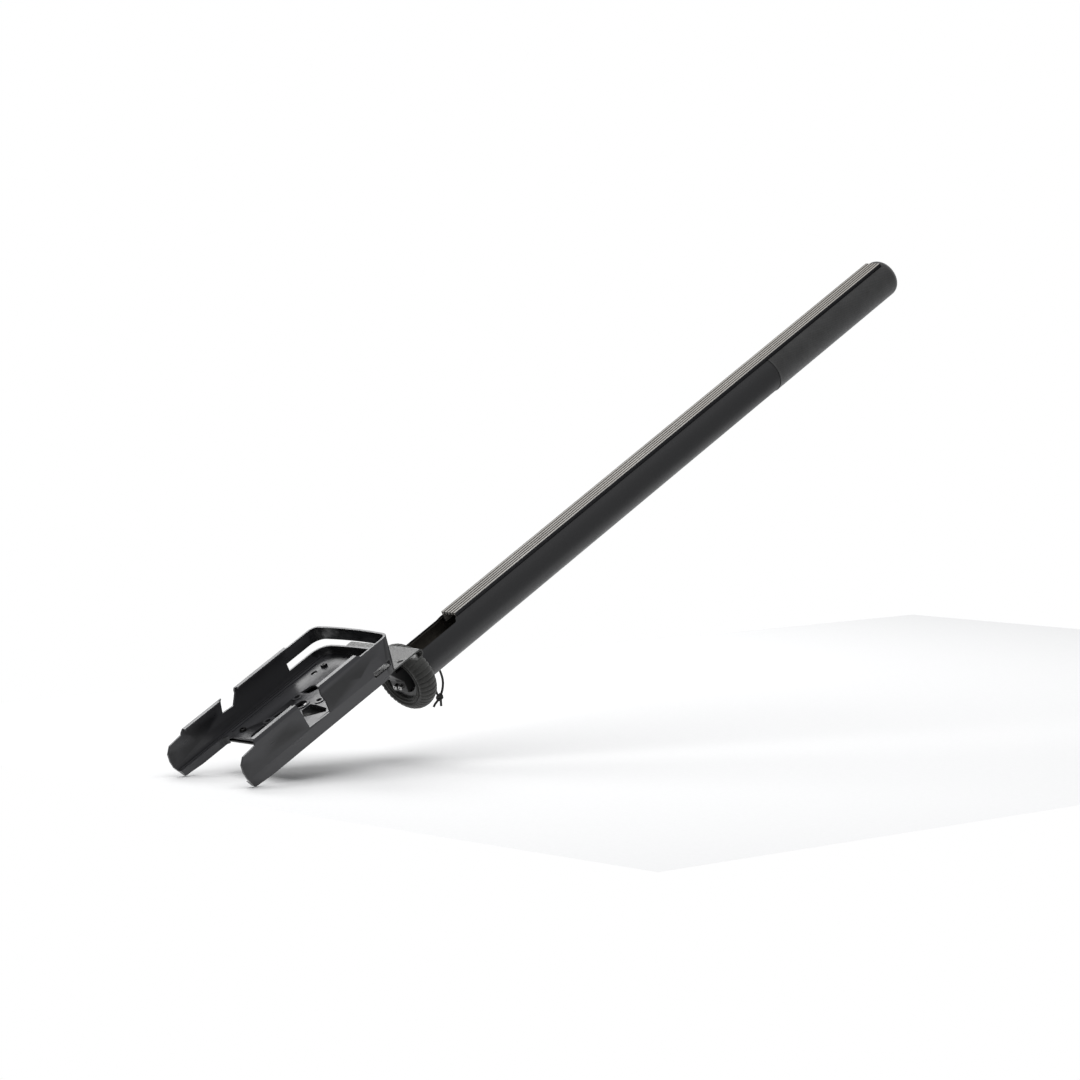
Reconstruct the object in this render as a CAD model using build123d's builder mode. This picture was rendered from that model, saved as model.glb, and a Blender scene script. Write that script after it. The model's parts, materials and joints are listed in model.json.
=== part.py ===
"""Hand-held boom with a device cradle on one end and a rubber grip on the other.

All sizes are in millimetres. The boom runs along Y, the cradle opens towards +Z,
and the origin is the middle of the grip, on the boom's axis.
"""
import os
from math import hypot, radians, tan

from build123d import *

os.makedirs("parts", exist_ok=True)

# ---- driving dimensions -------------------------------------------------------
boom_radius = 18.8
boom_wall = 2.0
boom_bore = boom_radius - boom_wall
boom_low = -640.0
boom_high = 90.0
grip_low = -101.0
grip_high = 100.0
grip_radius = 19.4
grip_end_round = 8.0

slot_half = 10.2
window_half = 13.0
window_low = -626.0
window_high = -572.0

cover_low = -569.5
cover_high = 90.0
cover_half = 9.5
cover_top = 19.3
cover_side = 1.5
cover_foot_half = 12.3
cover_foot_low = 8.9
cover_foot_high = 10.9

ring_axis_z = -4.0
ring_radius = 32.4
ring_bore = 24.1
ring_mouth = 18.5
ring_back = -630.4
ring_front = -650.5
collar_radius = 24.0
collar_front = -646.0
collar_back = -633.5
collar_bore = boom_radius + 0.08
collar_mouth = 17.6

hole_pitch_x = 30.0
hole_pitch_y = 38.0
hole_radius = 2.7
centre_hole_radius = 5.5

cradle_y = -766.0
floor_top = 41.0
floor_thickness = 2.0
tray_depth = 6.6
tray_bottom = floor_top - tray_depth
tray_half = 51.0
tray_side_end = 90.0
tray_bow_end = 92.5
tray_near = -106.0
tray_corner = 9.0
tray_low_corner = 18.0
corner_change = 14.8
tray_wall = 2.0
foot_inset = 1.7
fold_height = 3.0
wall_height = 26.6
lip_height = 29.6
lip_inset = 1.8

plate_thickness = 1.4
plate_half = 46.0
plate_near = -44.0
plate_far = 117.6
plate_top = tray_bottom
plate_bottom = plate_top - plate_thickness

cord_diameter = 2.2


def save(part, label):
    """Name a finished piece and write its STEP file."""
    part.label = label
    export_step(part, f"parts/{label}.step")


def at_cradle(height):
    """Horizontal plane over the middle of the four mounting holes, at a height over the floor."""
    return Plane((0, cradle_y, floor_top + height))


def across_boom(y):
    """Plane across the boom at y. Its local x is -X, its local y is +Z, and it faces +Y."""
    return Plane(origin=(0, y, 0), x_dir=(-1, 0, 0), z_dir=(0, 1, 0))


def side_plane(x):
    """Plane that faces +X at x. Its local x is +Y and its local y is +Z."""
    return Plane(origin=(x, 0, 0), x_dir=(0, 1, 0), z_dir=(1, 0, 0))


def tray_outline(inset, near=tray_near, corner=tray_corner):
    """Outline of the tray, drawn in a sketch: straight sides and a bowed far end."""
    half = tray_half - inset
    side_end = tray_side_end - inset
    with BuildLine() as border:
        Polyline((-half, side_end), (-half, near), (half, near), (half, side_end))
        ThreePointArc((half, side_end), (0, tray_bow_end - inset), (-half, side_end))
    face = make_face(border.edges())
    corners = face.vertices().group_by(Axis.Y)[-1]
    fillet(corners, max(corner - inset, 2.0))


def corner_at(height):
    """The far corners are wide at the floor and tighter above the window."""
    rise = min(max((height - fold_height) / (corner_change - fold_height), 0.0), 1.0)
    return tray_low_corner + (tray_corner - tray_low_corner) * rise


def tray_loft(low_height, low_inset, high_height, high_inset, near=tray_near, mode=Mode.ADD):
    """Solid between two outlines of the tray at two heights over the floor."""
    with BuildSketch(at_cradle(low_height)) as low:
        tray_outline(low_inset, near, corner_at(low_height))
    with BuildSketch(at_cradle(high_height)) as high:
        tray_outline(high_inset, near, corner_at(high_height))
    loft([low.sketch, high.sketch], mode=mode)


def button_head_screw(x, y, z, head_radius, head_height, shank_radius, length):
    """A screw that points down, with the underside of its head at z."""
    with BuildSketch(Plane((x, y, z))) as head:
        Circle(head_radius)
    extrude(head.sketch, amount=head_height)
    top_edges = edges(Select.LAST).filter_by(GeomType.CIRCLE).group_by(Axis.Z)[-1]
    fillet(top_edges, head_height * 0.55)
    with BuildSketch(Plane((x, y, z + head_height))) as socket:
        RegularPolygon(head_radius * 0.42, 6)
    extrude(socket.sketch, amount=-head_height * 0.6, mode=Mode.SUBTRACT)
    with BuildSketch(Plane((x, y, z))) as shank:
        Circle(shank_radius)
    extrude(shank.sketch, amount=-length)


# ---- boom tube ----------------------------------------------------------------
cord_exit_front = -604.0
cord_exit_back = -612.0
cord_hole_radius = 1.6

with BuildPart() as boom_tube:
    with BuildSketch(across_boom(boom_low)):
        Circle(boom_radius)
        Circle(boom_bore, mode=Mode.SUBTRACT)
    extrude(amount=boom_high - boom_low)
    with BuildSketch(Plane.XY):
        with Locations((0, (window_high + boom_high) / 2)):
            Rectangle(2 * slot_half, boom_high - window_high + 2)
        with Locations((0, (window_low + window_high) / 2)):
            RectangleRounded(2 * window_half, window_high - window_low, 5)
    extrude(amount=boom_radius + 1, mode=Mode.SUBTRACT)
    with BuildSketch(Plane.XY):
        with Locations((0, cord_exit_front), (0, cord_exit_back)):
            Circle(cord_hole_radius)
    extrude(amount=-boom_radius - 1, mode=Mode.SUBTRACT)
save(boom_tube.part, "boom_tube")

# ---- sliding cover of the boom's slot -----------------------------------------
groove_count = 4
groove_pitch = 3.8
groove_width = 1.6
groove_depth = 0.7
cover_plate = 2.4

with BuildPart() as slot_cover:
    with BuildSketch(across_boom(cover_low)):
        with BuildLine():
            Polyline(
                (-cover_half, cover_top),
                (-cover_half, cover_foot_high),
                (-cover_foot_half, cover_foot_high),
                (-cover_foot_half, cover_foot_low),
                (-cover_half + cover_side, cover_foot_low),
                (-cover_half + cover_side, cover_top - cover_plate),
                (cover_half - cover_side, cover_top - cover_plate),
                (cover_half - cover_side, cover_foot_low),
                (cover_foot_half, cover_foot_low),
                (cover_foot_half, cover_foot_high),
                (cover_half, cover_foot_high),
                (cover_half, cover_top),
                close=True,
            )
        make_face()
        for index in range(groove_count):
            groove_x = (index - (groove_count - 1) / 2) * groove_pitch
            with Locations((groove_x, cover_top)):
                Rectangle(groove_width, 2 * groove_depth, mode=Mode.SUBTRACT)
    extrude(amount=cover_high - cover_low)
save(slot_cover.part, "slot_cover")

# ---- grip and the plug inside the boom's upper end ----------------------------
with BuildPart() as grip_sleeve:
    with BuildSketch(across_boom(grip_low)):
        Circle(grip_radius)
    extrude(amount=grip_high - grip_low)
    end_edge = edges().filter_by(GeomType.CIRCLE).sort_by(Axis.Y)[-1]
    fillet(end_edge, grip_end_round)
    with BuildSketch(across_boom(grip_low)):
        Circle(boom_radius)
    extrude(amount=boom_high - grip_low, mode=Mode.SUBTRACT)
    with BuildSketch(Plane.XY):
        with Locations((0, (grip_low + boom_high) / 2)):
            Rectangle(2 * slot_half + 0.8, boom_high - grip_low)
    extrude(amount=grip_radius + 1, mode=Mode.SUBTRACT)
save(grip_sleeve.part, "grip_sleeve")

end_plug_length = 30.0
plug_flat = 8.4

with BuildPart() as end_plug:
    with BuildSketch(across_boom(boom_high - end_plug_length)):
        Circle(boom_bore)
        with Locations((0, plug_flat + boom_bore)):
            Rectangle(4 * boom_bore, 2 * boom_bore, mode=Mode.SUBTRACT)
    extrude(amount=end_plug_length)
save(end_plug.part, "end_plug")

# ---- hub plug, screwed to the neck and pinned in the boom's lower end ----------
hub_flange_radius = 16.6
hub_flange = 2.0
hub_length = 13.0
neck_screw_x = 3.4
neck_screw_z = -7.4
neck_screw_radius = 1.5
neck_head_radius = 2.3

with BuildPart() as hub_plug:
    with BuildSketch(across_boom(boom_low - hub_flange)):
        Circle(hub_flange_radius)
    extrude(amount=hub_flange)
    with BuildSketch(across_boom(boom_low)):
        Circle(boom_bore)
    extrude(amount=hub_length)
    with BuildSketch(across_boom(boom_low - hub_flange)):
        with Locations((-neck_screw_x, neck_screw_z), (neck_screw_x, neck_screw_z)):
            Circle(neck_screw_radius)
    extrude(amount=hub_flange + hub_length, mode=Mode.SUBTRACT)
    with BuildSketch(side_plane(0)):
        with Locations((boom_low + hub_length / 2, 0)):
            Circle(1.5)
    extrude(amount=boom_bore, both=True, mode=Mode.SUBTRACT)
save(hub_plug.part, "hub_plug")

with BuildPart() as hub_pins:
    for side in (-1, 1):
        with BuildSketch(side_plane(side * (boom_bore - 8))):
            with Locations((boom_low + hub_length / 2, 0)):
                Circle(1.5)
        extrude(amount=side * 7.8)
save(hub_pins.part, "hub_pins")

# ---- offset collar and the ribbed ring that turns on it ------------------------
def ring_plane(y):
    """Plane across the ring at y, with its middle on the ring's own axis."""
    return Plane(origin=(0, y, ring_axis_z), x_dir=(-1, 0, 0), z_dir=(0, 1, 0))


with BuildPart() as ring_carrier:
    with BuildSketch(ring_plane(collar_front)):
        Circle(collar_radius)
    extrude(amount=collar_back - collar_front)
    with BuildSketch(across_boom(collar_front)):
        Circle(collar_mouth)
    extrude(amount=boom_low - collar_front, mode=Mode.SUBTRACT)
    with BuildSketch(across_boom(boom_low)):
        Circle(collar_bore)
    extrude(amount=collar_back - boom_low, mode=Mode.SUBTRACT)
save(ring_carrier.part, "ring_carrier")

with BuildPart() as ribbed_ring:
    with BuildSketch(Plane.XY):
        with BuildLine():
            inside = Polyline(
                (ring_bore + 3, ring_back),
                (ring_bore, ring_back),
                (ring_bore, collar_front - 0.3),
                (ring_mouth, collar_front - 0.3),
                (ring_mouth, collar_front - 2.3),
                (ring_bore + 1, ring_front),
            )
            ThreePointArc(inside @ 1, (ring_radius, (ring_back + ring_front) / 2), inside @ 0)
        make_face()
    revolve(axis=Axis.Y)
ring_part = ribbed_ring.part.moved(Location((0, 0, ring_axis_z)))
save(ring_part, "ribbed_ring")

with BuildPart() as ring_stop:
    with BuildSketch(across_boom(ring_back + 0.3)):
        Circle(boom_radius + 1.6)
        Circle(boom_radius, mode=Mode.SUBTRACT)
    extrude(amount=1.4)
save(ring_stop.part, "ring_stop")

# ---- neck between the hub and the base plate ----------------------------------
neck_half = 9.5
neck_block_top = 10.0
neck_block_low = -13.0
neck_face = -652.0
neck_back = -656.0
neck_flange_near = -704.0
neck_flange_low = plate_bottom - 5.0
plate_screw_x = 6.5
plate_screw_y = -692.0

with BuildPart() as neck:
    with BuildSketch(side_plane(-neck_half)):
        with BuildLine():
            Polyline(
                (neck_flange_near, plate_bottom),
                (neck_back, plate_bottom),
                (neck_back, neck_block_top),
                (boom_low - hub_flange, neck_block_top),
                (boom_low - hub_flange, neck_block_low),
                (neck_face, neck_block_low),
                (neck_face, -2),
                (-664, 14),
                (-682, neck_flange_low),
                (neck_flange_near, neck_flange_low),
                close=True,
            )
        make_face()
    extrude(amount=2 * neck_half)
    with BuildSketch(across_boom(neck_face)):
        with Locations((-neck_screw_x, neck_screw_z), (neck_screw_x, neck_screw_z)):
            Circle(neck_screw_radius)
    extrude(amount=boom_low - hub_flange - neck_face, mode=Mode.SUBTRACT)
    with BuildSketch(Plane.XY.offset(plate_bottom)):
        with Locations((-plate_screw_x, plate_screw_y), (plate_screw_x, plate_screw_y)):
            Circle(2.0)
    extrude(amount=-6, mode=Mode.SUBTRACT)
save(neck.part, "neck")

with BuildPart() as neck_screws:
    for side in (-1, 1):
        with BuildSketch(across_boom(neck_face)):
            with Locations((side * neck_screw_x, neck_screw_z)):
                Circle(neck_head_radius)
        extrude(amount=-2.8)
        with BuildSketch(across_boom(neck_face - 2.8)):
            with Locations((side * neck_screw_x, neck_screw_z)):
                RegularPolygon(1.1, 6)
        extrude(amount=1.6, mode=Mode.SUBTRACT)
        with BuildSketch(across_boom(neck_face)):
            with Locations((side * neck_screw_x, neck_screw_z)):
                Circle(neck_screw_radius)
        extrude(amount=18)
    front_edges = edges().filter_by(GeomType.CIRCLE).group_by(Axis.Y)[0]
    chamfer(front_edges, 0.5)
save(neck_screws.part, "neck_screws")

# ---- base plate with curled ears on its far corners ---------------------------
ear_inner = 36.0
ear_radius = 4.0
ear_return = 5.0

with BuildPart() as base_plate:
    with BuildSketch(Plane.XY.offset(plate_bottom)):
        with Locations((0, cradle_y + (plate_near + plate_far) / 2)):
            RectangleRounded(2 * plate_half, plate_far - plate_near, 1.5)
        with Locations((0, cradle_y)):
            with GridLocations(hole_pitch_x, hole_pitch_y, 2, 2):
                Circle(hole_radius, mode=Mode.SUBTRACT)
        with Locations((-plate_screw_x, plate_screw_y), (plate_screw_x, plate_screw_y)):
            Circle(2.0, mode=Mode.SUBTRACT)
        with Locations((41.5, cradle_y + 96)):
            SlotOverall(6, 3.6, rotation=45, mode=Mode.SUBTRACT)
        with Locations((-43, cradle_y + 69), (43, cradle_y + 69)):
            RectangleRounded(9, 16, 2, mode=Mode.SUBTRACT)
        with Locations((-9.3, cradle_y + 23.5)):
            RectangleRounded(6, 10, 2.5, mode=Mode.SUBTRACT)
    extrude(amount=plate_thickness)
    for side in (-1, 1):
        ear_start = side * ear_inner if side > 0 else -plate_half
        with BuildSketch(side_plane(ear_start)):
            ear_y = cradle_y + plate_far - 1.6
            ear_z = plate_top - ear_radius
            with BuildLine():
                outer = ThreePointArc(
                    (ear_y, plate_top), (ear_y + ear_radius, ear_z), (ear_y, ear_z - ear_radius)
                )
                inner_radius = ear_radius - plate_thickness
                inner = ThreePointArc(
                    (ear_y, plate_bottom), (ear_y + inner_radius, ear_z), (ear_y, ear_z - inner_radius)
                )
                Line(outer @ 0, inner @ 0)
                Polyline(
                    outer @ 1,
                    (ear_y - ear_return, ear_z - ear_radius),
                    (ear_y - ear_return, ear_z - inner_radius),
                    inner @ 1,
                )
            make_face()
        extrude(amount=plate_half - ear_inner)
save(base_plate.part, "base_plate")

with BuildPart() as plate_screws:
    for side in (-1, 1):
        button_head_screw(side * plate_screw_x, plate_screw_y, plate_top, 3.6, 2.4, 2.0, 6.2)
save(plate_screws.part, "plate_screws")

# ---- moulded cradle -----------------------------------------------------------
boss_radius = 4.8
centre_boss_radius = 7.5
boss_height = 0.8
floor_near = -46.5
rail_inner = 44.2
screw_points = ((-29.5, 68.5), (29.5, 68.5), (-31, -36), (31, -36))
screw_boss_radius = 4.0
screw_hole = 1.6
over = 2.0
slope = foot_inset / (tray_depth + fold_height)
lip_width = 3.6
lip_thickness = 1.6
skirt = 2.4
skirt_inner = 46.6
floor_inset = tray_wall + slope * fold_height
under_inset = floor_inset + slope * floor_thickness

with BuildPart() as cradle:
    tray_loft(-tray_depth, foot_inset, fold_height, 0)
    # skirts that hide the edges of the base plate
    for side in (-1, 1):
        with BuildSketch(Plane(origin=(0, cradle_y - 108, floor_top), x_dir=(-1, 0, 0), z_dir=(0, 1, 0))):
            with BuildLine():
                Polyline(
                    (side * (tray_half - foot_inset), -tray_depth),
                    (side * (tray_half - foot_inset - slope * skirt), -tray_depth - skirt),
                    (side * skirt_inner, -tray_depth - skirt),
                    (side * skirt_inner, -tray_depth),
                    close=True,
                )
            make_face()
        extrude(amount=108 + 74)
    tray_loft(fold_height, 0, wall_height, 0)
    tray_loft(wall_height, 0, lip_height, lip_inset)
    open_near = tray_near - 4
    tray_loft(0, floor_inset, fold_height, tray_wall, open_near, Mode.SUBTRACT)
    tray_loft(fold_height, tray_wall, wall_height, tray_wall, open_near, Mode.SUBTRACT)
    tray_loft(wall_height, tray_wall, lip_height, tray_wall + lip_inset, open_near, Mode.SUBTRACT)
    tray_loft(
        -tray_depth, foot_inset + tray_wall, -floor_thickness, under_inset, floor_near - 1, Mode.SUBTRACT
    )
    # side silhouette: rounded rail ends, lips over the middle and a lower far end
    with BuildSketch(Plane(origin=(-60, cradle_y, floor_top), x_dir=(0, 1, 0), z_dir=(1, 0, 0))):
        with BuildLine():
            Polyline(
                (-78, -tray_depth - skirt),
                (-99, -tray_depth - 0.8),
                (-104.5, 4),
                (-105.5, 11),
                (-104.5, 18),
                (-99.5, 23.5),
                (-84, 25.0),
                (-81, lip_height),
                (50, lip_height),
                (53, 27.1),
                (110, 27.1),
                (110, -tray_depth - skirt),
                close=True,
            )
        make_face()
    extrude(amount=120, mode=Mode.INTERSECT)
    # gap between the rails
    with BuildSketch(at_cradle(-tray_depth - over)):
        with Locations((0, (floor_near + tray_near) / 2 - 10)):
            RectangleRounded(2 * rail_inner, floor_near - tray_near + 20, 9)
    extrude(amount=tray_depth + 2 * over, mode=Mode.SUBTRACT)
    # left notch and right notch between the lips
    with BuildSketch(Plane(origin=(-60, cradle_y, floor_top), x_dir=(0, 1, 0), z_dir=(1, 0, 0))):
        with BuildLine():
            Polyline((-32, 32), (-36.5, 16.5), (-22.5, 15.5), (-16, 24), (-15, 32), close=True)
        make_face()
    extrude(amount=40, mode=Mode.SUBTRACT)
    with BuildSketch(Plane(origin=(20, cradle_y, floor_top), x_dir=(0, 1, 0), z_dir=(1, 0, 0))):
        with BuildLine():
            Polyline((-29, 32), (-25.5, 5), (0.5, 4), (1, 14), (-1, 22), (1, 32), close=True)
        make_face()
    extrude(amount=40, mode=Mode.SUBTRACT)
    # window round the left far corner and the far end
    with BuildSketch(at_cradle(7.5)):
        with Locations((-5, 77)):
            Rectangle(98, 62)
    extrude(amount=corner_change - 7.5, mode=Mode.SUBTRACT)
    # inward lips on top of the side walls
    for side, lip_start, lip_end in ((-1, -81, -37), (-1, -14, 50), (1, -81, -30), (1, 1.5, 50)):
        lip_x = side * (tray_half - lip_inset - lip_width / 2 - 1)
        with BuildSketch(at_cradle(lip_height - lip_thickness)):
            with Locations((lip_x, (lip_start + lip_end) / 2)):
                Rectangle(lip_width, lip_end - lip_start)
        extrude(amount=lip_thickness)
    # slot of the side catch
    with BuildSketch(at_cradle(0.7)):
        with Locations((49.6, 69)):
            Rectangle(12.8, 22)
    extrude(amount=6, mode=Mode.SUBTRACT)
    with BuildSketch(at_cradle(-floor_thickness - 1)):
        with Locations((44.7, 69)):
            Rectangle(3, 20)
    extrude(amount=4, mode=Mode.SUBTRACT)
    # bosses, holes and stiffening ribs in the floor
    with BuildSketch(at_cradle(-tray_depth)):
        with GridLocations(hole_pitch_x, hole_pitch_y, 2, 2):
            Circle(boss_radius)
    extrude(amount=tray_depth + boss_height)
    with BuildSketch(at_cradle(-floor_thickness)):
        with Locations((0, 10)):
            Circle(centre_boss_radius)
    extrude(amount=floor_thickness + boss_height)
    with BuildSketch(at_cradle(-tray_depth)):
        with Locations(*screw_points):
            Circle(screw_boss_radius)
    extrude(amount=tray_depth)
    with BuildSketch(at_cradle(0)):
        with Locations((-46.4, -9), (46.4, -9)):
            Rectangle(1.2, 182)
        with Locations((-41.5, 15), (41.5, 15)):
            Rectangle(1.2, 110)
    extrude(amount=0.9)
    with BuildSketch(at_cradle(-tray_depth - over)):
        with GridLocations(hole_pitch_x, hole_pitch_y, 2, 2):
            Circle(hole_radius)
        with Locations((0, 10)):
            Circle(centre_hole_radius)
        with Locations(*screw_points):
            Circle(screw_hole)
        with Locations((-31.5, 57), (31.5, 57)):
            SlotOverall(7, 4.6, rotation=90)
        with BuildLine():
            Polyline((-16, -11.5), (-11.5, -12), (-8.5, 3), (-9.5, 7), close=True)
        make_face()
        with Locations((-12.5, -34)):
            SlotOverall(18, 4.6, rotation=90)
        with BuildLine():
            Polyline((-19, 26.5), (-16, 38), (-8, 43), (-2.5, 36), (-7.5, 27), close=True)
        make_face()
        with BuildLine():
            Polyline((8.8, 2), (20, -7), (38, 5), (34, 10), (17, 12.5), (9.5, 12.5), close=True)
        make_face()
    extrude(amount=tray_depth + 2 * over, mode=Mode.SUBTRACT)
save(cradle.part, "cradle")

with BuildPart() as cradle_screws:
    for screw_x, screw_y in screw_points:
        button_head_screw(screw_x, cradle_y + screw_y, floor_top, 3.2, 2.0, screw_hole, tray_depth)
save(cradle_screws.part, "cradle_screws")

# ---- spring catch that holds the cradle's right wall to the plate --------------
with BuildPart() as side_catch:
    with BuildSketch(Plane(origin=(0, cradle_y + 60.5, floor_top), x_dir=(-1, 0, 0), z_dir=(0, 1, 0))):
        with BuildLine():
            Polyline(
                (-34, -tray_depth),
                (-45, -tray_depth),
                (-45, 0.9),
                (-50.4, 0.9),
                (-50.4, 1.8),
                (-44, 1.8),
                (-44, 1 - tray_depth),
                (-34, 1 - tray_depth),
                close=True,
            )
        make_face()
    extrude(amount=17)
save(side_catch.part, "side_catch")

# ---- elastic cord loop under the boom -----------------------------------------
# Route in the plane x = 0: down from the front hole, through the knot, back up to the other hole.
cord_route = (
    (cord_exit_front, -16.0),
    (-603.2, -26.0),
    (-606.5, -36.0),
    (-615.0, -43.5),
    (-617.5, -37.0),
    (-613.4, -27.0),
    (cord_exit_back, -16.0),
)
knot_centre = (0, -615.5, -43.0)
knot_radius = 4.2


def corner_radii(route):
    """Largest tangent arc that the two runs at each corner allow."""
    radii = []
    for before, corner, after in zip(route, route[1:], route[2:]):
        run_in = Vector(corner[0] - before[0], corner[1] - before[1])
        run_out = Vector(after[0] - corner[0], after[1] - corner[1])
        turn = radians(run_in.get_angle(run_out))
        shorter = min(run_in.length, run_out.length)
        radii.append(0.45 * shorter / tan(turn / 2))
    return radii


cord_radii = corner_radii(cord_route)
print("cord radii", [round(radius, 1) for radius in cord_radii])

with BuildPart() as cord_loop:
    with BuildLine():
        cord_path = FilletPolyline(*[(0, y, z) for y, z in cord_route], radius=cord_radii)
    with BuildSketch(Plane(origin=cord_path @ 0, z_dir=cord_path % 0)):
        Circle(cord_diameter / 2)
    sweep()
cord_runs = sum(hypot(b[0] - a[0], b[1] - a[1]) for a, b in zip(cord_route, cord_route[1:]))
print("cord runs", round(cord_runs, 1), "tube", round(cord_path.length, 1))
save(cord_loop.part, "cord_loop")

with BuildPart() as cord_knot:
    with BuildSketch(Plane(origin=knot_centre)):
        Circle(knot_radius)
        with Locations((0, -knot_radius)):
            Rectangle(2 * knot_radius, 2 * knot_radius, mode=Mode.SUBTRACT)
    revolve(axis=Axis(knot_centre, (1, 0, 0)))
save(cord_knot.part, "cord_knot")

tail_ends = (((-1.0, -618.0, -45.0), (-1.5, -625.0, -47.5)), ((1.0, -616.6, -46.0), (1.5, -619.0, -50.5)))

with BuildPart() as cord_tails:
    for tail_start, tail_end in tail_ends:
        run = Vector(*tail_end) - Vector(*tail_start)
        with BuildSketch(Plane(origin=tail_start, z_dir=run)):
            Circle(cord_diameter / 2)
        extrude(amount=run.length)
save(cord_tails.part, "cord_tails")

with BuildPart() as cord_stops:
    with BuildSketch(Plane.XY.offset(-16.2)):
        with Locations((0, cord_exit_front), (0, cord_exit_back)):
            Circle(3.0)
    extrude(amount=5)
save(cord_stops.part, "cord_stops")
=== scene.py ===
"""Looks of a hand-held boom: open device cradle, ribbed ring, slotted boom with its cover, rubber grip.

Metres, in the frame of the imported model. The boom runs along Y and the cradle opens towards +Z.
"""
import json
from math import asin, atan2, cos, hypot, pi, sin

import bmesh
import bpy
from mathutils import Matrix, Vector


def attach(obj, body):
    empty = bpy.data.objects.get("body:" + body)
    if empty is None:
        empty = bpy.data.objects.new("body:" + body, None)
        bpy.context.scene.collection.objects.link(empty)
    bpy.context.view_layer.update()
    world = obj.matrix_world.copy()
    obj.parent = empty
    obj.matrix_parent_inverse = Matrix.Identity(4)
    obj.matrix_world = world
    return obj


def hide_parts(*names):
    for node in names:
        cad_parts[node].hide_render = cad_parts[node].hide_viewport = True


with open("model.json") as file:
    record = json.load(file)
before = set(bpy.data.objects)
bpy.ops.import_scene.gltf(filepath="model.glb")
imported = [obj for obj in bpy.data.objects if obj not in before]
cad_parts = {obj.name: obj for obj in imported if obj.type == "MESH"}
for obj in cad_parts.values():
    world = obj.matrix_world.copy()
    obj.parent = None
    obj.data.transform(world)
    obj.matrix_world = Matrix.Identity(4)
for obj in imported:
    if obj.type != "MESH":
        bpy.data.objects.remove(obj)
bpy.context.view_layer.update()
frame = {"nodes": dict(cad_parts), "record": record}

MM = 0.001
nodes_of_part = frame["nodes"]


# ---- camera ---------------------------------------------------------------------
CAMERA_PLACE = (2.50849, -2.42905, 1.38815)
CAMERA_RIGHT = (0.69174988, 0.63413173, -0.34548379)
CAMERA_UP = (-0.05237142, 0.52121253, 0.85181849)
CAMERA_BACK = (0.72023561, -0.57115186, 0.39375908)
CAMERA_LENS = 125.367
SENSOR_WIDTH = 36
NEAREST_SEEN = 0.05
FARTHEST_SEEN = 30


def place_camera():
    lens = bpy.data.cameras.new("studio_camera")
    lens.lens = CAMERA_LENS
    lens.sensor_width = SENSOR_WIDTH
    lens.clip_start = NEAREST_SEEN
    lens.clip_end = FARTHEST_SEEN
    camera = bpy.data.objects.new("studio_camera", lens)
    turn = Matrix((CAMERA_RIGHT, CAMERA_UP, CAMERA_BACK)).transposed()
    camera.matrix_world = Matrix.Translation(CAMERA_PLACE) @ turn.to_4x4()
    bpy.context.scene.collection.objects.link(camera)
    bpy.context.scene.camera = camera


place_camera()


# ---- material tools -------------------------------------------------------------
# A rubbed edge is the lighter tone of its finish, brightened by a factor and a lift: partly wear,
# partly a painted highlight along the edges.
EDGE_WEAR_HIGHLIGHT_GAIN = 2.2
EDGE_WEAR_HIGHLIGHT_LIFT = 0.012
# The cover's ridges repeat at a pitch across X. Their tops carry a painted highlight, and painted shade
# darkens the lines between them and the strip's sides.
COVER_PITCH = 0.0038
COVER_RIDGE_HALF = 0.0011
COVER_TOP_HALF = 0.0094
TONE_BORDER = 0.0001
COVER_RIDGE_HIGHLIGHT_DEEP = (0.26, 0.245, 0.225)
COVER_RIDGE_HIGHLIGHT_LIGHT = (0.36, 0.34, 0.31)
COVER_PAINTED_SHADE = (0.013, 0.013, 0.015)


def start_material(name, metallic=0.0, sheen=0.0, specular=0.5):
    """An empty material with its shader. Even values are set on the shader's own sockets."""
    material = bpy.data.materials.new(name)
    material.use_nodes = True
    shader = material.node_tree.nodes["Principled BSDF"]
    shader.inputs["Metallic"].default_value = metallic
    shader.inputs["Sheen Weight"].default_value = sheen
    shader.inputs["Specular IOR Level"].default_value = specular
    return material, shader


def stretched_coordinates(tree, stretch=(1, 1, 1)):
    """Object coordinates, squeezed or stretched along each axis."""
    source = tree.nodes.new("ShaderNodeTexCoord")
    mapping = tree.nodes.new("ShaderNodeMapping")
    mapping.inputs["Scale"].default_value = stretch
    tree.links.new(source.outputs["Object"], mapping.inputs["Vector"])
    return mapping.outputs["Vector"]


def grain(tree, scale, detail=3.0, stretch=(1, 1, 1), rough=0.55):
    """Noise over the surface, in cells per metre."""
    noise = tree.nodes.new("ShaderNodeTexNoise")
    noise.inputs["Scale"].default_value = scale
    noise.inputs["Detail"].default_value = detail
    noise.inputs["Roughness"].default_value = rough
    tree.links.new(stretched_coordinates(tree, stretch), noise.inputs["Vector"])
    return noise.outputs["Fac"]


def pebbles(tree, scale):
    """Round cells over the surface, in cells per metre."""
    cells = tree.nodes.new("ShaderNodeTexVoronoi")
    cells.inputs["Scale"].default_value = scale
    tree.links.new(stretched_coordinates(tree), cells.inputs["Vector"])
    return cells.outputs["Distance"]


def spread(tree, source, low, high, start=0.3, end=0.7):
    """Turn a pattern between start and end into a value between low and high."""
    remap = tree.nodes.new("ShaderNodeMapRange")
    remap.inputs["From Min"].default_value = start
    remap.inputs["From Max"].default_value = end
    remap.inputs["To Min"].default_value = low
    remap.inputs["To Max"].default_value = high
    tree.links.new(source, remap.inputs["Value"])
    return remap.outputs["Result"]


def blend_colours(tree, share, first, second):
    """Mix two colours by a pattern. Either may be the output of another node."""
    mix = tree.nodes.new("ShaderNodeMix")
    mix.data_type = "RGBA"
    tree.links.new(share, mix.inputs["Factor"])
    for socket, colour in ((mix.inputs[6], first), (mix.inputs[7], second)):
        if isinstance(colour, tuple):
            socket.default_value = (*colour, 1)
        else:
            tree.links.new(colour, socket)
    return mix.outputs[2]


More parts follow.
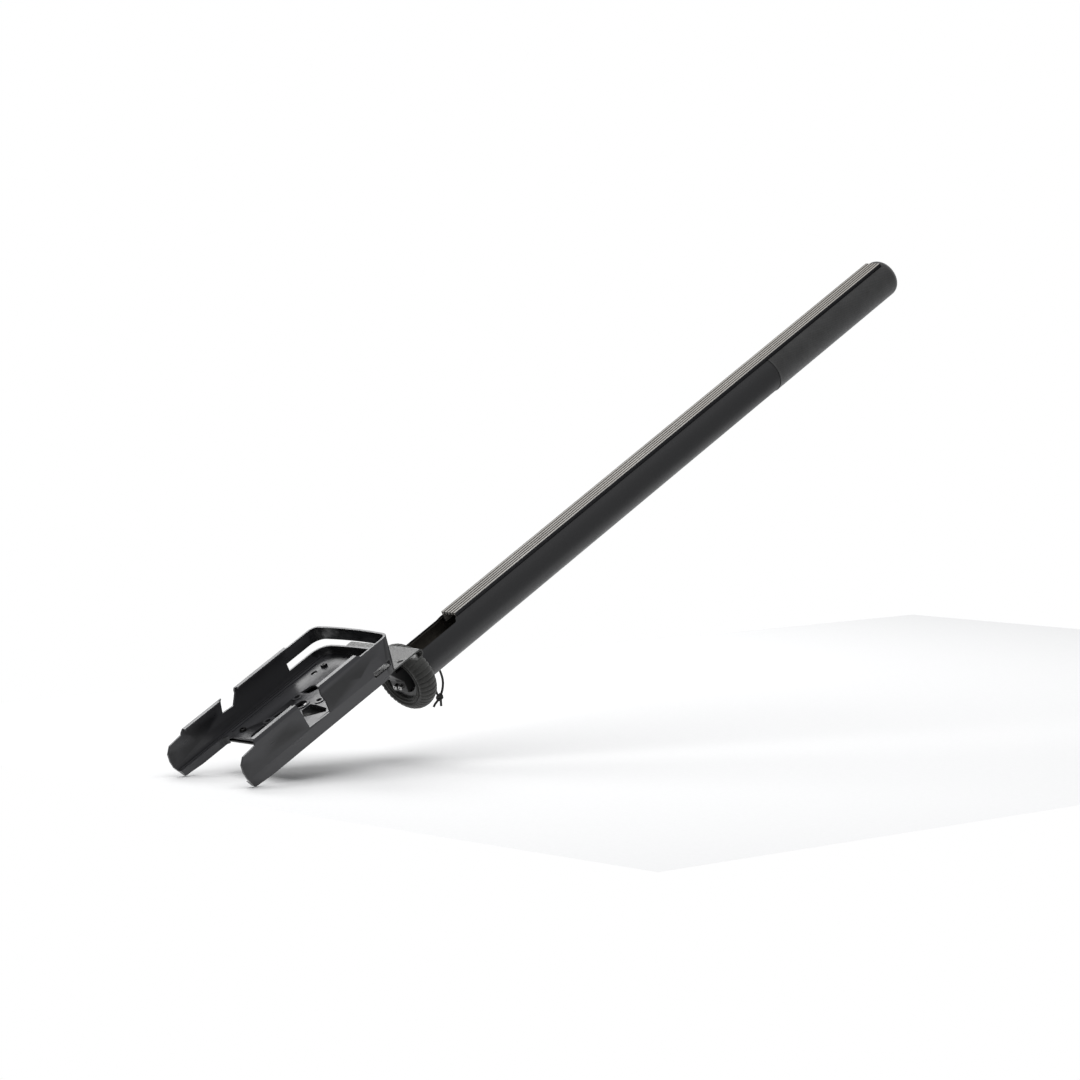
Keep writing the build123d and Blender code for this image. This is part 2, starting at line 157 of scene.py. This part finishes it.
def raise_surface(tree, shader, height, depth, strength=1.0, under=None):
    """Fine relief of a given depth in metres. It may stand on another relief."""
    bump = tree.nodes.new("ShaderNodeBump")
    bump.inputs["Strength"].default_value = strength
    bump.inputs["Distance"].default_value = depth
    tree.links.new(height, bump.inputs["Height"])
    if under is not None:
        tree.links.new(under, bump.inputs["Normal"])
    tree.links.new(bump.outputs["Normal"], shader.inputs["Normal"])
    return bump.outputs["Normal"]


def edge_wear_and_highlight(tree, amount_low=0.52, amount_high=0.62):
    """Lighter share where the surface turns sharply outwards: rubbed wear and a painted edge highlight.
    """
    geometry = tree.nodes.new("ShaderNodeNewGeometry")
    return spread(tree, geometry.outputs["Pointiness"], 0.0, 1.0, amount_low, amount_high)


def coated_black(name, deep, light, rough_low, rough_high, cell, relief, specular=0.5):
    """Black finish with a fine grain, faint clouding and slightly lighter edges, partly rubbed wear and
    partly painted highlight.
    """
    material, shader = start_material(name, specular=specular)
    tree = material.node_tree
    clouds = spread(tree, grain(tree, 28.0, 4.0), 0.0, 1.0)
    body = blend_colours(tree, clouds, deep, light)
    # Edges take a lighter tone: rubbed wear together with a painted highlight.
    rubbed_and_highlit = tuple(channel * EDGE_WEAR_HIGHLIGHT_GAIN + EDGE_WEAR_HIGHLIGHT_LIFT for channel in light)
    colour = blend_colours(tree, edge_wear_and_highlight(tree), body, rubbed_and_highlit)
    tree.links.new(colour, shader.inputs["Base Color"])
    scuffs = grain(tree, 160.0, 5.0, (1, 0.22, 1))
    tree.links.new(spread(tree, scuffs, rough_low, rough_high), shader.inputs["Roughness"])
    raise_surface(tree, shader, grain(tree, cell, 2.0), relief)
    return material


def object_parts(tree):
    """The three object coordinates as separate patterns."""
    source = tree.nodes.new("ShaderNodeTexCoord")
    parts = tree.nodes.new("ShaderNodeSeparateXYZ")
    tree.links.new(source.outputs["Object"], parts.inputs["Vector"])
    return parts.outputs


def reckon(tree, operation, first, second=None):
    """One sum on a pattern. The second term may be a number or another pattern."""
    step = tree.nodes.new("ShaderNodeMath")
    step.operation = operation
    tree.links.new(first, step.inputs[0])
    if isinstance(second, float):
        step.inputs[1].default_value = second
    elif second is not None:
        tree.links.new(second, step.inputs[1])
    return step.outputs["Value"]


def cover_streaks_and_painted_light(name):
    """Drawn strip: painted highlight on the ridge tops, painted shade in the grooves between them and
    on the sides.
    """
    material, shader = start_material(name, specular=0.3)
    tree = material.node_tree
    streaks = spread(tree, grain(tree, 260.0, 2.0, (1, 0.02, 1)), 0.0, 1.0)
    # The pale ridge tone is a painted highlight on the ridge tops.
    face = blend_colours(tree, streaks, COVER_RIDGE_HIGHLIGHT_DEEP, COVER_RIDGE_HIGHLIGHT_LIGHT)
    across = object_parts(tree)["X"]
    from_ridge = reckon(tree, "PINGPONG", across, COVER_PITCH / 2)
    ridge_end = (COVER_RIDGE_HALF - TONE_BORDER, COVER_RIDGE_HALF + TONE_BORDER)
    # Painted shade in the grooves between the ridges and on the strip's sides.
    groove = spread(tree, from_ridge, 0.0, 1.0, *ridge_end)
    ribbed = blend_colours(tree, groove, face, COVER_PAINTED_SHADE)
    from_middle = reckon(tree, "ABSOLUTE", across)
    outer = spread(tree, from_middle, 0.0, 1.0, COVER_TOP_HALF - TONE_BORDER, COVER_TOP_HALF)
    colour = blend_colours(tree, outer, ribbed, COVER_PAINTED_SHADE)
    tree.links.new(colour, shader.inputs["Base Color"])
    haze = grain(tree, 60.0, 4.0, (1, 0.3, 1))
    tree.links.new(spread(tree, haze, 0.45, 0.56), shader.inputs["Roughness"])
    raise_surface(tree, shader, grain(tree, 1200.0, 2.0, (1, 0.05, 1)), 0.00001, 0.4)
    return material


def paint_light_into_bore(material, radius, deep, light):
    """Paint a lighter tone into the tube's bore: painted light that lifts the shade inside it."""
    tree = material.node_tree
    shader = tree.nodes["Principled BSDF"]
    outside = shader.inputs["Base Color"].links[0].from_socket
    parts = object_parts(tree)
    across = reckon(tree, "MULTIPLY", parts["X"], parts["X"])
    upward = reckon(tree, "MULTIPLY", parts["Z"], parts["Z"])
    distance = reckon(tree, "SQRT", reckon(tree, "ADD", across, upward))
    # Painted light: a lighter tone for the shaded bore.
    inside = blend_colours(tree, spread(tree, grain(tree, 90.0, 4.0), 0.0, 1.0), deep, light)
    share = spread(tree, distance, 0.0, 1.0, radius - TONE_BORDER, radius + TONE_BORDER)
    tree.links.new(blend_colours(tree, share, inside, outside), shader.inputs["Base Color"])


def moulded_rubber(name, deep, light, sheen):
    """Dull rubber with a pebbled skin and a dusty bloom."""
    material, shader = start_material(name, sheen=sheen, specular=0.35)
    tree = material.node_tree
    bloom = spread(tree, grain(tree, 55.0, 5.0), 0.0, 1.0, 0.35, 0.7)
    colour = blend_colours(tree, bloom, deep, light)
    tree.links.new(colour, shader.inputs["Base Color"])
    tree.links.new(spread(tree, grain(tree, 240.0, 3.0), 0.5, 0.72), shader.inputs["Roughness"])
    skin = raise_surface(tree, shader, pebbles(tree, 1400.0), 0.00012, 0.5)
    raise_surface(tree, shader, grain(tree, 2600.0, 2.0), 0.00005, 0.4, skin)
    return material


def blasted_plate(name):
    """Bead-blasted aluminium: grey with a bright and dark speckle."""
    material, shader = start_material(name, metallic=0.75)
    tree = material.node_tree
    speckle = spread(tree, grain(tree, 1100.0, 4.0, rough=0.7), 0.0, 1.0, 0.35, 0.65)
    fine = blend_colours(tree, speckle, (0.055, 0.055, 0.054), (0.16, 0.16, 0.157))
    stain = spread(tree, grain(tree, 40.0, 4.0), 0.0, 0.35, 0.4, 0.75)
    colour = blend_colours(tree, stain, fine, (0.07, 0.07, 0.07))
    tree.links.new(colour, shader.inputs["Base Color"])
    tree.links.new(spread(tree, grain(tree, 700.0, 3.0), 0.36, 0.55), shader.inputs["Roughness"])
    raise_surface(tree, shader, grain(tree, 1600.0, 3.0), 0.00004, 0.6)
    return material


def plain_metal(name, deep, light, rough_low, rough_high):
    """Turned screw metal with fine tool marks."""
    material, shader = start_material(name, metallic=1.0)
    tree = material.node_tree
    marks = spread(tree, grain(tree, 1800.0, 3.0, (1, 1, 0.2)), 0.0, 1.0)
    tree.links.new(blend_colours(tree, marks, deep, light), shader.inputs["Base Color"])
    haze = spread(tree, grain(tree, 500.0, 3.0), rough_low, rough_high)
    tree.links.new(haze, shader.inputs["Roughness"])
    raise_surface(tree, shader, grain(tree, 2500.0, 2.0), 0.00002, 0.5)
    return material


def braided_cord(name):
    """Black elastic cord with a fine diagonal braid."""
    material, shader = start_material(name, sheen=0.25, specular=0.3)
    tree = material.node_tree
    braid = tree.nodes.new("ShaderNodeTexWave")
    braid.bands_direction = "DIAGONAL"
    braid.inputs["Scale"].default_value = 420.0
    braid.inputs["Distortion"].default_value = 1.5
    tree.links.new(stretched_coordinates(tree), braid.inputs["Vector"])
    share = spread(tree, braid.outputs["Fac"], 0.0, 1.0, 0.2, 0.9)
    colour = blend_colours(tree, share, (0.012, 0.012, 0.012), (0.05, 0.05, 0.048))
    tree.links.new(colour, shader.inputs["Base Color"])
    tree.links.new(spread(tree, grain(tree, 900.0), 0.55, 0.8), shader.inputs["Roughness"])
    raise_surface(tree, shader, braid.outputs["Fac"], 0.00015, 0.8)
    return material


# ---- finishes of the real pieces ------------------------------------------------
finishes = {
    "boom_black": coated_black(
        "boom_black", (0.005, 0.005, 0.0052), (0.009, 0.009, 0.0095), 0.33, 0.44, 1300.0, 0.00007, 0.32
    ),
    "cover_grey": cover_streaks_and_painted_light("cover_grey"),
    "grip_rubber": moulded_rubber("grip_rubber", (0.013, 0.013, 0.013), (0.026, 0.026, 0.026), 0.5),
    "ring_rubber": moulded_rubber("ring_rubber", (0.024, 0.024, 0.022), (0.048, 0.048, 0.045), 0.2),
    "carrier_black": coated_black(
        "carrier_black", (0.011, 0.011, 0.011), (0.018, 0.018, 0.018), 0.25, 0.42, 1500.0, 0.00004
    ),
    "plug_black": coated_black(
        "plug_black", (0.014, 0.014, 0.014), (0.022, 0.022, 0.022), 0.35, 0.5, 1500.0, 0.00005
    ),
    "neck_black": coated_black(
        "neck_black", (0.007, 0.007, 0.007), (0.012, 0.012, 0.012), 0.35, 0.5, 1200.0, 0.00006
    ),
    "plate_aluminium": blasted_plate("plate_aluminium"),
    "screw_steel": plain_metal("screw_steel", (0.35, 0.35, 0.35), (0.55, 0.55, 0.54), 0.2, 0.34),
    "screw_black": plain_metal("screw_black", (0.02, 0.02, 0.02), (0.05, 0.05, 0.05), 0.25, 0.4),
    "cradle_black": coated_black(
        "cradle_black", (0.0105, 0.0105, 0.0115), (0.016, 0.016, 0.0175), 0.27, 0.37, 1700.0, 0.000012
    ),
    "cord_black": braided_cord("cord_black"),
}


# The bore's lighter tone is painted light in the shaded inside of the tube.
BORE_PAINTED_LIGHT_RADIUS = 0.0174
paint_light_into_bore(finishes["boom_black"], BORE_PAINTED_LIGHT_RADIUS, (0.075, 0.069, 0.060), (0.12, 0.11, 0.095))


def dress_part_nodes():
    """Give every carried-over node the finish that its record slot names."""
    for part in frame["record"]["subparts"]:
        mesh = nodes_of_part[part["node"]].data
        mesh.materials.clear()
        mesh.materials.append(finishes[part["material_slot"]])


# ---- elastic cord loop under the boom -------------------------------------------
# The route is in metres. The knot's turns are offsets in millimetres from its centre.
CORD_RADIUS = 1.1 * MM
CORD_ROUTE = (
    (0.0, -0.604, -0.016),
    (0.0, -0.6032, -0.026),
    (0.0, -0.6065, -0.036),
    (0.0, -0.615, -0.0435),
    (0.0, -0.6175, -0.037),
    (0.0, -0.6134, -0.027),
    (0.0, -0.612, -0.016),
)
KNOT_CENTRE = (0.0, -0.6155, -0.043)
KNOT_CORD_RADIUS = 1.3 * MM
KNOT_TURNS = (
    (-0.7, 1.5, 2.4),
    (2.3, 1.9, 1.1),
    (2.7, -1.1, -0.6),
    (-0.2, -2.7, -1.7),
    (-2.8, -0.7, -0.2),
    (-2.0, 2.3, 0.7),
    (1.0, 2.0, -2.3),
    (2.1, -0.5, 2.0),
    (-0.5, -2.0, 2.3),
    (-2.3, -1.6, -1.6),
    (-0.4, 0.6, -2.8),
    (1.5, -2.0, -1.8),
    (0.3, 0.6, 0.8),
)
LONG_TAIL = (
    (-0.8, -617.0, -44.3),
    (-1.0, -619.6, -45.2),
    (-1.2, -622.4, -45.8),
    (-1.5, -625.0, -47.5),
)
SHORT_TAIL = (
    (0.8, -615.9, -44.9),
    (1.1, -617.0, -46.6),
    (1.2, -617.8, -48.2),
    (1.5, -619.0, -50.2),
)


def smooth_cord(name, points, radius):
    """A round cord whose smooth line is drawn by the given points."""
    line = bpy.data.curves.new(name, "CURVE")
    line.dimensions = "3D"
    line.bevel_depth = radius
    line.bevel_resolution = 3
    line.resolution_u = 10
    line.use_fill_caps = True
    spline = line.splines.new("NURBS")
    spline.points.add(len(points) - 1)
    for knot_point, place in zip(spline.points, points):
        knot_point.co = (*place, 1.0)
    spline.order_u = 3
    spline.use_endpoint_u = True
    piece = bpy.data.objects.new(name, line)
    bpy.context.scene.collection.objects.link(piece)
    line.materials.append(finishes["cord_black"])
    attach(piece, "boom")
    return piece


def in_metres(points):
    return [tuple(value * MM for value in point) for point in points]


def tie_cord():
    """The loop, its knot of the same cord and the two cut tails."""
    loop = smooth_cord("elastic_loop", CORD_ROUTE, CORD_RADIUS)
    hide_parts("cord_loop")
    turns = [tuple(c + o * MM for c, o in zip(KNOT_CENTRE, offset)) for offset in KNOT_TURNS]
    knot = smooth_cord("elastic_knot", turns, KNOT_CORD_RADIUS)
    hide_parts("cord_knot")
    long_tail = smooth_cord("elastic_tail_long", in_metres(LONG_TAIL), CORD_RADIUS)
    short_tail = smooth_cord("elastic_tail_short", in_metres(SHORT_TAIL), CORD_RADIUS)
    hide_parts("cord_tails")
    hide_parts("cord_tails")


# ---- mesh tools -----------------------------------------------------------------
def finish_mesh(name, mesh_in_work, slot, body, node, smooth_angle=0.7):
    """Turn the work into a piece of the object that stands for one node of the part."""
    bmesh.ops.recalc_face_normals(mesh_in_work, faces=mesh_in_work.faces[:])
    for face in mesh_in_work.faces:
        face.smooth = True
    for edge in mesh_in_work.edges:
        if edge.is_manifold and edge.calc_face_angle() > smooth_angle:
            edge.smooth = False
    mesh = bpy.data.meshes.new(name)
    mesh_in_work.to_mesh(mesh)
    mesh_in_work.free()
    mesh.materials.append(finishes[slot])
    piece = bpy.data.objects.new(name, mesh)
    bpy.context.scene.collection.objects.link(piece)
    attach(piece, body)
    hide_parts(node)


def turn_profile(work, profile, angle, steps, start_angle=0.0):
    """Turn a closed outline of (radius, y) points, in millimetres, about the boom's axis."""
    corners = []
    for radius, y in profile:
        corners.append(
            work.verts.new((radius * sin(start_angle) * MM, y * MM, radius * cos(start_angle) * MM))
        )
    outline = [work.edges.new(pair) for pair in zip(corners, corners[1:] + corners[:1])]
    full = angle > 2 * pi - 0.001
    result = bmesh.ops.spin(
        work,
        geom=corners + outline,
        cent=(0, 0, 0),
        axis=(0, 1, 0),
        angle=angle,
        steps=steps,
        use_merge=full,
    )
    return outline, result["geom_last"]


# ---- ribbed rubber ring ---------------------------------------------------------
RING_AXIS_Z = -4.0
RIB_COUNT = 40
RIB_STEPS = 8
RIB_DEPTH = 0.8
RIB_START = 26.0
RIB_BLEND = 2.0
RIB_SHARPNESS = 0.3
TYRE_CORE = (26.6, -640.0)
TYRE_OUTLINE = (
    (24.12, -630.7),
    (25.9, -630.45),
    (28.1, -631.1),
    (30.0, -632.9),
    (31.3, -635.4),
    (32.1, -638.1),
    (32.35, -640.6),
    (32.1, -643.2),
    (31.3, -645.8),
    (29.9, -648.1),
    (28.2, -649.7),
    (26.6, -650.35),
    (25.2, -650.4),
    (24.3, -650.0),
    (23.8, -649.2),
    (23.2, -648.9),
    (22.7, -649.2),
    (22.3, -649.9),
    (21.5, -650.1),
    (20.8, -649.6),
    (20.5, -648.6),
    (19.9, -648.3),
    (19.4, -648.7),
    (18.9, -648.6),
    (18.55, -647.9),
    (18.55, -646.35),
    (24.12, -646.35),
)


def mould_ring():
    """Tyre with two lips at its mouth and blocks cut across its crown."""
    work = bmesh.new()
    turn_profile(work, TYRE_OUTLINE, 2 * pi, RIB_COUNT * RIB_STEPS)
    for vertex in work.verts:
        radius = hypot(vertex.co.x, vertex.co.z) / MM
        if radius < RIB_START:
            continue
        angle = atan2(vertex.co.x, vertex.co.z)
        groove = max(0.0, cos(RIB_COUNT * angle) - RIB_SHARPNESS) / (1.0 - RIB_SHARPNESS)
        share = min(1.0, (radius - RIB_START) / RIB_BLEND)
        core_radius, core_y = TYRE_CORE
        core = Vector((sin(angle) * core_radius * MM, core_y * MM, cos(angle) * core_radius * MM))
        vertex.co += (core - vertex.co).normalized() * RIB_DEPTH * groove * share * MM
    bmesh.ops.translate(work, verts=work.verts[:], vec=(0, 0, RING_AXIS_Z * MM))
    finish_mesh("ring_tyre", work, "ring_rubber", "ring", "ribbed_ring")


# ---- knurled grip ---------------------------------------------------------------
GRIP_RADIUS = 19.4
GRIP_INNER = 18.85
GRIP_NEAR = -101.0
GRIP_FAR = 90.0
GRIP_END = 100.0
GRIP_ROUND = 8.0
GRIP_SLOT = 10.6
KNURL_PITCH = 2.6
KNURL_DEPTH = 0.32
SAME_RADIUS = 0.01
KNURL_MARGIN = 1.2
KNURL_REACH = 6.0
CAP_RIM = 1.0
CAP_PLAIN = 1.9
CAP_STEPS = 18
CAP_FLAT = 6.0
GRIP_STEPS_ALONG = 300
GRIP_STEPS_AROUND = 160
CAP_STEPS_AROUND = 180


def knurl(work):
    """Sink a diamond pattern into the grip's outer skin."""
    for vertex in work.verts:
        radius = hypot(vertex.co.x, vertex.co.z) / MM
        y = vertex.co.y / MM
        if radius < GRIP_RADIUS - KNURL_REACH or y < GRIP_NEAR + KNURL_MARGIN:
            continue
        if abs(radius - GRIP_INNER) < SAME_RADIUS:
            continue
        if radius < GRIP_RADIUS - SAME_RADIUS and y < GRIP_FAR + CAP_PLAIN:
            continue
        around = atan2(vertex.co.x, vertex.co.z) * GRIP_RADIUS
        one_way = cos(2 * pi * (around + y) / KNURL_PITCH)
        other_way = cos(2 * pi * (around - y) / KNURL_PITCH)
        sink = KNURL_DEPTH * (2.0 - one_way - other_way) / 4.0
        scale = (radius - sink) / radius
        vertex.co.x *= scale
        vertex.co.z *= scale


def mould_grip():
    """Sleeve with an open top for the cover, and a rounded closed end."""
    work = bmesh.new()
    opening = asin(GRIP_SLOT / GRIP_RADIUS)
    step = (GRIP_FAR - GRIP_NEAR) / GRIP_STEPS_ALONG
    outline = [(GRIP_RADIUS, GRIP_NEAR + step * index) for index in range(GRIP_STEPS_ALONG + 1)]
    outline += [(GRIP_INNER, GRIP_FAR), (GRIP_INNER, GRIP_NEAR)]
    first, last = turn_profile(work, outline, 2 * pi - 2 * opening, GRIP_STEPS_AROUND, opening)
    bmesh.ops.contextual_create(work, geom=first)
    last_edges = [item for item in last if isinstance(item, bmesh.types.BMEdge)]
    bmesh.ops.contextual_create(work, geom=last_edges)
    cap = [(0.0, GRIP_FAR), (GRIP_RADIUS, GRIP_FAR), (GRIP_RADIUS, GRIP_FAR + CAP_RIM)]
    centre = GRIP_RADIUS - GRIP_ROUND
    for index in range(CAP_STEPS + 1):
        turn = pi / 2 * index / CAP_STEPS
        height = GRIP_END - GRIP_ROUND + GRIP_ROUND * sin(turn)
        cap.append((centre + GRIP_ROUND * cos(turn), height))
    cap += [(CAP_FLAT, GRIP_END), (0.0, GRIP_END)]
    turn_profile(work, cap, 2 * pi, CAP_STEPS_AROUND)
    near = SAME_RADIUS * MM
    on_axis = [vertex for vertex in work.verts if hypot(vertex.co.x, vertex.co.z) < near]
    bmesh.ops.remove_doubles(work, verts=on_axis, dist=near)
    knurl(work)
    finish_mesh("knurled_grip", work, "grip_rubber", "boom", "grip_sleeve", 0.9)


# ---- soft edges on the moulded and pressed parts ---------------------------------
WELD_DISTANCE = 0.002 * MM
SHARP_ANGLE = 0.6
EDGE_SOFTENING = {
    "cradle": 0.35 * MM,
    "base_plate": 0.25 * MM,
    "neck": 0.5 * MM,
}


def soften_edges():
    """Weld the faces together and round every sharp edge a little."""
    for node_name, width in EDGE_SOFTENING.items():
        piece = nodes_of_part[node_name]
        weld = piece.modifiers.new("weld", "WELD")
        weld.merge_threshold = WELD_DISTANCE
        bevel = piece.modifiers.new("soft_edge", "BEVEL")
        bevel.width = width
        bevel.segments = 2
        bevel.limit_method = "ANGLE"
        bevel.angle_limit = SHARP_ANGLE


# ---- floor, lights and surroundings ----------------------------------------------
FLOOR_NORMAL = Vector((0.0, 0.478, 0.8784)).normalized()
FLOOR_LEVEL = -0.3845
FLOOR_HALF = 0.6
FLOOR_NEAR = -0.93
FLOOR_FAR = 0.55
FLOOR_ROUGHNESS = 0.9


def lay_floor():
    """Plain white sheet that the open ends of the cradle's rails stand on."""
    work = bmesh.new()
    for x, y in ((-1, FLOOR_NEAR), (1, FLOOR_NEAR), (1, FLOOR_FAR), (-1, FLOOR_FAR)):
        z = (FLOOR_LEVEL - FLOOR_NORMAL.y * y) / FLOOR_NORMAL.z
        work.verts.new((x * FLOOR_HALF, y, z))
    work.faces.new(work.verts[:])
    mesh = bpy.data.meshes.new("studio_floor")
    work.to_mesh(mesh)
    work.free()
    material, shader = start_material("floor_white", specular=0.1)
    tree = material.node_tree
    paper = spread(tree, grain(tree, 300.0, 3.0), 0.0, 1.0)
    colour = blend_colours(tree, paper, (0.89, 0.89, 0.89), (0.91, 0.91, 0.91))
    tree.links.new(colour, shader.inputs["Base Color"])
    shader.inputs["Roughness"].default_value = FLOOR_ROUGHNESS
    mesh.materials.append(material)
    floor = bpy.data.objects.new("studio_floor", mesh)
    bpy.context.scene.collection.objects.link(floor)


def hang_softbox(name, direction, width, height, power, aim):
    """A flat lamp of the given size in metres and power in watts, facing its aim."""
    light = bpy.data.lights.new(name, "AREA")
    light.shape = "RECTANGLE"
    light.size = width
    light.size_y = height
    light.energy = power
    lamp = bpy.data.objects.new(name, light)
    towards = Vector(direction).normalized()
    lamp.location = Vector(aim) + towards * SOFTBOX_DISTANCE
    lamp.rotation_mode = "QUATERNION"
    lamp.rotation_quaternion = towards.to_track_quat("Z", "Y")
    bpy.context.scene.collection.objects.link(lamp)
    return lamp


SURROUND_STRENGTH = 1.0
FILL_STRENGTH = 0.34
FILL_TONE = (0.97, 0.98, 1.0, 1.0)
SOFTBOX_DISTANCE = 2.2


def light_studio():
    """White surroundings, a softbox high behind the object and a broad one overhead."""
    world = bpy.data.worlds.new("studio_white")
    bpy.context.scene.world = world
    world.use_nodes = True
    tree = world.node_tree
    backdrop = tree.nodes["Background"]
    backdrop.inputs["Color"].default_value = (1.0, 1.0, 1.0, 1.0)
    backdrop.inputs["Strength"].default_value = SURROUND_STRENGTH
    fill = tree.nodes.new("ShaderNodeBackground")
    fill.inputs["Color"].default_value = FILL_TONE
    fill.inputs["Strength"].default_value = FILL_STRENGTH
    path = tree.nodes.new("ShaderNodeLightPath")
    choice = tree.nodes.new("ShaderNodeMixShader")
    tree.links.new(path.outputs["Is Camera Ray"], choice.inputs["Fac"])
    tree.links.new(fill.outputs["Background"], choice.inputs[1])
    tree.links.new(backdrop.outputs["Background"], choice.inputs[2])
    tree.links.new(choice.outputs["Shader"], tree.nodes["World Output"].inputs["Surface"])
    hang_softbox("softbox_behind", (-0.72, 0.57, 0.44), 1.2, 0.8, 13.0, (0.0, -0.7, 0.0))
    overhead = hang_softbox("softbox_above", FLOOR_NORMAL, 2.6, 2.6, 52.0, (0.0, -0.5, 0.0))
    overhead.visible_glossy = False
    bpy.context.scene.view_settings.view_transform = "Standard"


dress_part_nodes()
tie_cord()
mould_ring()
mould_grip()
soften_edges()
lay_floor()
light_studio()
